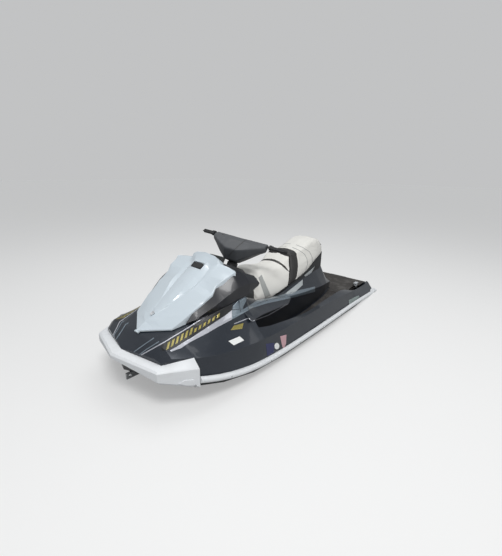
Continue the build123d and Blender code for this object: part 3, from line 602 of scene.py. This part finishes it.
def cordAlong(name, points, body, look):
    # round cord that follows the points
    curve = bpy.data.curves.new(name, "CURVE")
    curve.dimensions, curve.use_fill_caps = "3D", True
    curve.bevel_depth, curve.bevel_resolution = seams["cordRadius"], seams["cordSides"]
    spline = curve.splines.new("POLY")
    spline.points.add(len(points) - 1)
    for target, place in zip(spline.points, points):
        target.co = (*place, 1)
    line = addObject(name + "Line", curve)
    mesh = bakedMesh(line)
    bpy.data.objects.remove(line)
    bm = bmesh.new()
    bm.from_mesh(mesh)
    bpy.data.meshes.remove(mesh)
    bmesh.ops.remove_doubles(bm, verts=bm.verts, dist=gaps["fineWeld"])
    bmesh.ops.recalc_face_normals(bm, faces=bm.faces)
    return addPiece(name, bm, body, look)


for padNode, padSpec in pads.items():
    pad = stuffPad(padNode, padSpec)
    if padNode == "rear_seat":
        loop = sliceLoop(pad.data, split["across"] * bandEdge, split["across"])
        foot = min(p.z for p in loop) + seams["side"]
        cordAlong("bandPiping", [p for p in loop if p.z > foot], bodyOf[padNode], "darkVinyl")
print("seats stuffed:", len(pads))


# handlebar cover, grips, steering boot and small turned pieces

cover = {"voxel": 0.005, "grow": 0.004, "smooth": 14}


def roundCopy(node, spec, look):
    # a fuller copy of the node, with every edge melted
    bm = meshOf(node)
    bm.normal_update()
    for vert, place in [(v, v.co + v.normal * spec["grow"]) for v in bm.verts]:
        vert.co = place
    piece = addPiece(node + "Form", bm, bodyOf[node], look)
    remeshed(piece, spec["voxel"])
    bm = bmesh.new()
    bm.from_mesh(piece.data)
    smoothed(bm, bm.verts, spec["smooth"])
    bm.to_mesh(piece.data)
    bm.free()
    piece.data.shade_smooth()
    dress(piece.data, look)
    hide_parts(node)
    return piece


def spun(profile, origin, axis, steps=28):
    # turned solid from (radius, height) points, its height along the axis
    bm = bmesh.new()
    line = [bm.verts.new((r, 0, z)) for r, z in profile]
    edges = [bm.edges.new(ends) for ends in zip(line, line[1:])]
    bmesh.ops.spin(bm, geom=line + edges, cent=(0, 0, 0), axis=(0, 0, 1), angle=2 * math.pi, steps=steps,
                   use_merge=True)
    bmesh.ops.remove_doubles(bm, verts=bm.verts, dist=gaps["fineWeld"])
    bmesh.ops.recalc_face_normals(bm, faces=bm.faces)
    turn = Vector(axis).to_track_quat("Z", "Y").to_matrix().to_4x4()
    bmesh.ops.transform(bm, matrix=Matrix.Translation(origin) @ turn, verts=bm.verts)
    return bm


def joined(parts):
    whole = bmesh.new()
    for part in parts:
        mesh = bpy.data.meshes.new("part")
        part.to_mesh(mesh)
        part.free()
        whole.from_mesh(mesh)
        bpy.data.meshes.remove(mesh)
    return whole


# a ribbed sleeve's ends in metres, and where each rib rises and falls as shares of its pitch
sleeve = {"flangeHeight": 0.004, "margin": 0.005, "rise": 0.25, "fall": 0.75, "neck": 0.004, "rim": 0.003,
          "rimShare": 0.8}


def ribbedProfile(length, spec):
    radius, depth, run = spec["radius"], spec["depth"], length - 2 * sleeve["margin"]
    rows = [(0, 0), (spec["flange"], 0), (spec["flange"], sleeve["flangeHeight"])]
    for index in range(spec["ribs"]):
        foot = sleeve["margin"] + run * index / spec["ribs"]
        pitch = run / spec["ribs"]
        rows += [(radius - depth, foot), (radius, foot + sleeve["rise"] * pitch),
                 (radius, foot + sleeve["fall"] * pitch)]
    return rows + [(radius - depth, length - sleeve["neck"]), (radius, length - sleeve["rim"]),
                   (radius * sleeve["rimShare"], length), (0, length)]


grip = {"radius": 0.0172, "ribs": 15, "depth": 0.0016, "flange": 0.0225, "endZone": 0.02}


def centre(points):
    return sum(points, Vector()) / len(points)


def makeGrips():
    # one ribbed grip over each end of the bars
    bm = meshOf("grips")
    places = [v.co.copy() for v in bm.verts]
    bm.free()
    middle = centre(places)
    spread = max(places, key=lambda p: (p - middle).length) - middle
    parts = []
    for side in (1, -1):
        own = [p for p in places if (p - middle).dot(spread) * side > 0]
        heart = centre(own)
        reach = (heart - middle).normalized()
        outer = centre([p for p in own if (p - heart).dot(reach) > grip["endZone"]])
        inner = centre([p for p in own if (p - heart).dot(reach) < -grip["endZone"]])
        parts.append(spun(ribbedProfile((outer - inner).length, grip), inner, outer - inner))
    piece = addPiece("gripForms", joined(parts), bodyOf["grips"], "black_rubber")
    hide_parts("grips")


boot = {"top": 0.062, "bottom": -0.052, "radius": 0.040, "flange": 0.040, "ribs": 6, "depth": 0.007}


def makeBoot():
    # bellows round the steering column
    steer = next(j for j in record["behaviour"]["joints"] if j["name"] == "steer")
    axis, at = Vector(steer["axis"]).normalized(), Vector(steer["pos_m"])
    profile = ribbedProfile(boot["top"] - boot["bottom"], boot)
    addPiece("steeringBoot", spun(profile, at + axis * boot["bottom"], axis), "bars", "black_rubber")


boss = {"y": -1.307, "radius": 0.0165, "thick": 0.0022, "sink": 0.004, "bead": 0.0015, "crown": 0.001,
        "ringWidth": 0.0035, "discHeight": 0.0008}


def makeBoss():
    # ring and plain disc on the hood's nose, found from above it
    place, normal, _, _ = forms["hood"].ray_cast(Vector((0, boss["y"], 2)), Vector((0, 0, -1)))
    r, t = boss["radius"], boss["thick"]
    bead, disc = boss["bead"], boss["discHeight"]
    profile = [(0, -boss["sink"]), (r, -boss["sink"]), (r, t), (r - bead, t + boss["crown"]),
               (r - 2 * bead, t), (r - boss["ringWidth"], disc), (0, disc)]
    addPiece("bossRing", spun(profile, place, normal), bodyOf["hood"], "pale_fitting")


bolts = {
    "bumperBolt": {"on": "bow_bumper", "stations": [-1.345], "low": 0.14, "high": 0.18, "radius": 0.0062,
                   "look": "steel"},
    "railScrew": {"on": "gunwale_rails", "stations": [-1.1, -0.7, -0.3, 0.1, 0.5, 0.9, 1.3], "low": -0.02,
                  "high": 0.2, "radius": 0.0038, "look": "steel"},
}
# washer, head and socket: radius and height in head radii, then a height in metres
headRows = [(0, -1, 0), (1.5, -1, 0), (1.5, 0, 0.0004), (1.4, 0, 0.0010), (1, 0, 0.0012), (0.9, 0.45, 0),
            (0.4, 0.5, 0), (0.35, 0.2, 0), (0, 0.2, 0)]
boltSides, boltSearch = 16, 24


def makeBolts(name, spec):
    # one on each side at every station, where the piece stands out furthest
    parts = []
    profile = [(share * spec["radius"], rise * spec["radius"] + height) for share, rise, height in headRows]
    for y in spec["stations"]:
        hits = []
        for step in range(boltSearch + 1):
            z = spec["low"] + (spec["high"] - spec["low"]) * step / boltSearch
            hits.append(forms[spec["on"]].ray_cast(Vector((1, y, z)), Vector((-1, 0, 0))))
        place, normal, _, _ = max((h for h in hits if h[0] is not None), key=lambda h: h[0].x)
        for side in (1, -1):
            spot = Vector((side * place.x, place.y, place.z))
            lie = Vector((side * normal.x, normal.y, normal.z))
            parts.append(spun(profile, spot, lie, boltSides))
    addPiece(name, joined(parts), bodyOf[spec["on"]], spec["look"])


# edge radius of each moulded, cast or welded piece, in metres; None is made in a way of its own
edgeRadii = {
    "hull": 0.004, "deck": 0.005, "bow_bumper": 0.009, "gunwale_rails": 0.002, "rail_strips": 0.003,
    "corner_caps": 0.004, "stern_rails": 0.003, "cleats": 0.003, "console": 0.008, "steering_base": 0.004,
    "display": 0.004, "seat_plinth": 0.004, "pump_housing": 0.002, "ride_plate": 0.002, "sponsons": 0.006,
    "step_brackets": 0.001, "tow_hook": 0.0015, "stern_eyes": 0.003, "bow_eye": 0.003, "fuel_cap": 0.004,
    "drain_plugs": 0.002, "hood": 0.0035, "hood_cowls": 0.006, "hood_latch": 0.002, "mirrors": 0.002,
    "switch_boxes": 0.004, "levers": 0.002, "handlebar_pad": None, "glove_lid": 0.003, "grab_handle": 0.002,
    "footwell_mats": 0.002, "platform_mat": 0.002, "steering_nozzle": 0.002, "reverse_bucket": 0.002,
    "boarding_step": 0.002, "engine_block": 0.006, "handlebar": 0.001, "stator": 0.001,
    "impeller": 0.001, "drive_shaft": 0.001, "intake_grate": 0.001, "grips": None,
}
for edgeNode, edgeRadius in edgeRadii.items():
    if edgeNode == "handlebar_pad":
        form = roundCopy(edgeNode, cover, "padGrey")
    elif edgeNode == "grips":
        makeGrips()
        continue
    else:
        form = softCopy(edgeNode, edgeRadius)
    if edgeNode == "handlebar":
        form.data.materials[0] = looks["blackTube"]
    if edgeNode in ("deck", "seat_plinth", "hood", "bow_bumper", "handlebar_pad", "gunwale_rails"):
        keepForm(edgeNode, form.data)
for node in nodes:
    dress(nodes[node].data, slotOf[node])
print("forms made:", len(edgeRadii))
makeBoot()
makeBoss()
for boltName, boltSpec in bolts.items():
    makeBolts(boltName, boltSpec)
print("boot, boss ring and bolts made")


# graphics, with a few painted highlight and painted shade lines among them: outlines in the photograph's
# pixels, laid on the pieces that carry them

def oval(cx, cy, rx, ry, step=24):
    turns = [math.radians(a) for a in range(0, 360, step)]
    return [(cx + rx * math.cos(t), cy + ry * math.sin(t)) for t in turns]


graphics = {
    "silverStripe": {"on": "deck", "look": "silverStripe", "outlines": [
        [(169.7, 350.5), (176.1, 347.1), (187.6, 339.7), (190, 338.7), (209.6, 325.7), (225.3, 315.4),
         (232, 310.1), (232, 319.5), (216.8, 327.5), (207.9, 332.9), (190, 342.2), (180.9, 348.3),
         (171.4, 351.6)]]},
    "greyFork": {"on": "deck", "look": "accentGrey", "outlines": [
        [(232, 319.5), (232, 310.1), (243.6, 309.2), (252.5, 303.4), (256.5, 300.3), (267.7, 298),
         (275.7, 296.3), (289.1, 292.7), (302, 289.5), (315, 286.6), (315, 291.8), (301.6, 295.4),
         (288.2, 298.9), (266.8, 303.4), (252.5, 307.9), (243.6, 313.2)],
        [(232.4, 309.6), (232.9, 306.1), (237.3, 301.6), (243.6, 294.5), (251.6, 290.9), (247.1, 298.9),
         (243.1, 307), (243, 309)]]},
    "blackWedge": {"on": "deck", "look": "wedgeBlack", "lift": 0.0005, "outlines": [
        [(162, 350.5), (169.7, 350.3), (176.1, 347.1), (187.6, 339.7), (209.6, 325.7), (225.3, 315.4),
         (231.5, 310), (232, 306), (233, 300.4), (211, 312.8), (190, 326.6), (160, 345)]]},
    "goldChevron": {"on": "deck", "look": "goldFoil", "outlines": [
        [(230.6, 330.2), (233.8, 325.7), (243.6, 323), (242.2, 328.8), (238.2, 329.3)]]},
    "whiteLabel": {"on": "deck", "look": "blankLabel", "outlines": [
        [(228.4, 341.1), (239.6, 336.3), (244.2, 340.4), (233.8, 345.4)]]},
    "navyPatch": {"on": "deck", "look": "navySticker", "outlines": [
        [(265.9, 343.9), (274.4, 342.9), (273.9, 352.5), (267.2, 356)]]},
    "pinkPatch": {"on": "deck", "look": "pinkSticker", "outlines": [
        [(280.2, 336.4), (286.4, 334.6), (286, 343.6), (283.8, 348.5), (282.4, 347.1)]]},
    "roundPatch": {"on": "deck", "look": "blankLabel", "outlines": [oval(276.9, 346.1, 2.4, 3.2)]},
    "pedestalPanel": {"on": "deck", "look": "paleMoulding", "outlines": [
        [(283.9, 294.7), (302.7, 279.5), (302.7, 285), (293.6, 293.5)]]},
    "plinthPanel": {"on": "seat_plinth", "look": "paleMoulding", "outlines": [
        [(304.5, 275.3), (313, 268), (314.8, 266.2), (311.5, 272.5), (305.2, 277.8)]]},
    "bumperEndBlock": {"on": "bow_bumper", "look": "white_bumper", "lift": 0.005, "outlines": [
        [(178.4, 383.6), (184.6, 380.2), (194.2, 379.4), (194, 385.4), (186, 385.4)]]},
    "sternPatch": {"on": "deck", "look": "hatchGrey", "outlines": [
        [(348.8, 300.2), (358.6, 295.3), (359.5, 297), (349.6, 305.1)]]},
    "seatStripe": {"on": "front_seat", "look": "greyVinyl", "lift": 0.0012, "outlines": [
        [(258.5, 277.7), (261.5, 274.7), (266, 285), (270.6, 295.3), (265.2, 297.7), (261.8, 287.7)]]},
    "seatCrescent": {"on": "front_seat", "look": "darkVinyl", "lift": 0.0012, "outlines": [
        [(266.2, 258.7), (272, 258.9), (277, 260.7), (281, 262.9), (285, 266), (290, 272.6), (286, 269.6),
         (281.5, 265.4), (276.4, 262.3), (271, 260.6), (266.2, 260.4)]]},
}
# thin lines, among them a painted highlight and painted shade: points and width in pixels
pinstripes = {
    "hoodEdgeLine": {"on": "deck", "look": "silverStripe", "width": 0.9, "lines": [
        [(141.4, 355), (165, 341.8), (190, 326.6), (211, 312.8)], [(213.2, 310.5), (232, 300.3)]]},
    "zigzagLine": {"on": "deck", "look": "silverStripe", "width": 0.8, "lines": [
        [(234.2, 323.8), (248.5, 318.1), (252.1, 321.3), (268.6, 315), (288.2, 303.8)]]},
    # painted highlight: pale lines where light catches two thin raised ridges on the nose
    "noseHighlightLine": {"on": "deck", "look": "accentGrey", "width": 0.8, "lines": [
        [(139.8, 354.5), (146, 349.8), (159, 341.6)], [(134, 352), (143, 345.5), (154, 338)]]},
    # painted shade: thin grey lines where the rear seat's embossed arcs fall in shadow
    "seatArcShade": {"on": "rear_seat", "look": "greyVinyl", "width": 0.45, "lines": [
        [(292.4, 247.4), (299, 250.3), (304.5, 254.1), (306.9, 258.6), (307.6, 263.8), (305.8, 269.8)],
        [(296, 244.8), (303, 247.6), (309.5, 251.8), (312, 257), (312.3, 262)]]},
    # painted shade: a dark line on one side of the handlebar cover's crease
    "padCreaseShade": {"on": "handlebar_pad", "look": "darkVinyl", "width": 0.5, "oneSide": True, "lines": [
        [(228.3, 256), (237, 247), (247, 238.8)]]},
}
# slanted bars along a line: sizes in pixels, slant for a bar as tall as slantHeight
goldBars = {"from": (166, 350.2), "to": (221, 315.9), "count": 12, "tall": 7.4, "low": 4.4, "change": 0.42,
            "slant": 2.2, "slantHeight": 9, "fill": 0.58, "lift": 0.0012}
# longest edge of a patch in pixels, so that it follows the surface; lifts and merge distance in metres
patchForm = {"step": 0.8, "lift": 0.0009, "lineLift": 0.0014, "merge": 0.0005}


def layPatch(name, outlines, on, look, lift, oneSide=False):
    # a sheet as thick as twice its lift, thrown on the piece from the camera and mirrored
    tree = forms[on]
    sheet = bmesh.new()
    for outline in outlines:
        sheet.faces.new([sheet.verts.new((px, py, 0)) for px, py in outline])
    bmesh.ops.triangulate(sheet, faces=sheet.faces)
    while longOnes := [e for e in sheet.edges if e.calc_length() > patchForm["step"]]:
        bmesh.ops.subdivide_edges(sheet, edges=longOnes, cuts=1)
        bmesh.ops.triangulate(sheet, faces=[f for f in sheet.faces if len(f.verts) > 3])
    camera = Vector(shot["place"])
    missed = []
    for vert in sheet.verts:
        ray = photoRay(vert.co.x, vert.co.y)
        place, normal, _, _ = tree.ray_cast(camera, ray)
        if place is None:
            missed.append(vert)
        else:
            vert.co = place + normal * lift * (-1 if normal.dot(ray) > 0 else 1)
    bmesh.ops.delete(sheet, geom=missed, context="VERTS")
    if not oneSide:
        whole = sheet.verts[:] + sheet.edges[:] + sheet.faces[:]
        bmesh.ops.mirror(sheet, geom=whole, axis="X", merge_dist=patchForm["merge"])
    sheet.normal_update()
    turned = []
    for face in sheet.faces:
        _, normal, _, _ = tree.find_nearest(face.calc_center_median())
        if face.normal.dot(normal) < 0:
            turned.append(face)
    bmesh.ops.reverse_faces(sheet, faces=turned)
    bmesh.ops.solidify(sheet, geom=sheet.faces[:], thickness=2 * lift)
    return addPiece(name, sheet, bodyOf[on], look)


def ribbon(points, width):
    # outline of a line with a width, in pixels
    left, right = [], []
    for index, (px, py) in enumerate(points):
        ax, ay = points[max(0, index - 1)]
        bx, by = points[min(len(points) - 1, index + 1)]
        reach = math.hypot(bx - ax, by - ay)
        nx, ny = -(by - ay) / reach * width / 2, (bx - ax) / reach * width / 2
        left.append((px + nx, py + ny))
        right.append((px - nx, py - ny))
    return left + right[::-1]


def barOutlines():
    # slanted plain bars, tall ones first
    (ax, ay), (bx, by) = goldBars["from"], goldBars["to"]
    outlines = []
    for index in range(goldBars["count"]):
        start = index / goldBars["count"]
        stop = start + goldBars["fill"] / goldBars["count"]
        tall = goldBars["tall"] if start < goldBars["change"] else goldBars["low"]
        foot = [(ax + (bx - ax) * t, ay + (by - ay) * t) for t in (start, stop)]
        slant = goldBars["slant"] * tall / goldBars["slantHeight"]
        outlines.append(foot + [(px + slant, py - tall) for px, py in reversed(foot)])
    return outlines


for patchName, patch in graphics.items():
    layPatch(patchName, patch["outlines"], patch["on"], patch["look"], patch.get("lift", patchForm["lift"]))
for lineName, line in pinstripes.items():
    layPatch(lineName, [ribbon(points, line["width"]) for points in line["lines"]], line["on"], line["look"],
             patchForm["lineLift"], line.get("oneSide", False))
layPatch("goldBars", barOutlines(), "deck", "goldFoil", goldBars["lift"])
print("graphics laid:", len(graphics) + len(pinstripes) + 1)
